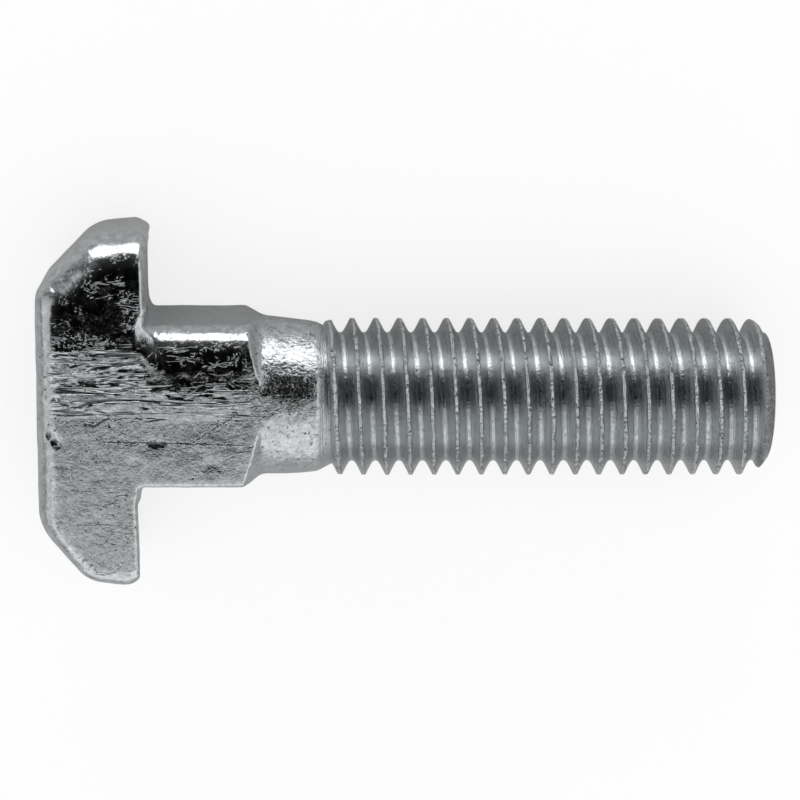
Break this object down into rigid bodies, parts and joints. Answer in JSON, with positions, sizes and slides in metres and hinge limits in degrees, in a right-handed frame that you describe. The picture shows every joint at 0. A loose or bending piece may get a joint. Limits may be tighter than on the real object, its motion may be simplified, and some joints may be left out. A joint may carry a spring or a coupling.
{
  "type": "track bolt",
  "caption": "Forged T-head track bolt with a square neck and a coarse right-hand thread, made to lock in a T-slot or track and clamp with a nut.",
  "frame": {"origin": "on the bolt's axis, in the bearing plane under the head, where the square neck begins", "axes": "+X along the bolt from the head to the threaded tip, +Y along one wing of the T, +Z out of one flat side of the head; the bolt lies on the other flat side"},
  "size_m": [0.0466, 0.0224, 0.01],
  "materials": {
    "zinc_plated_steel": "cool grey zinc plate over a forged and thread-rolled surface"
  },
  "bodies": {
    "root": {"track_bolt": "zinc_plated_steel"}
  },
  "joints": []
}
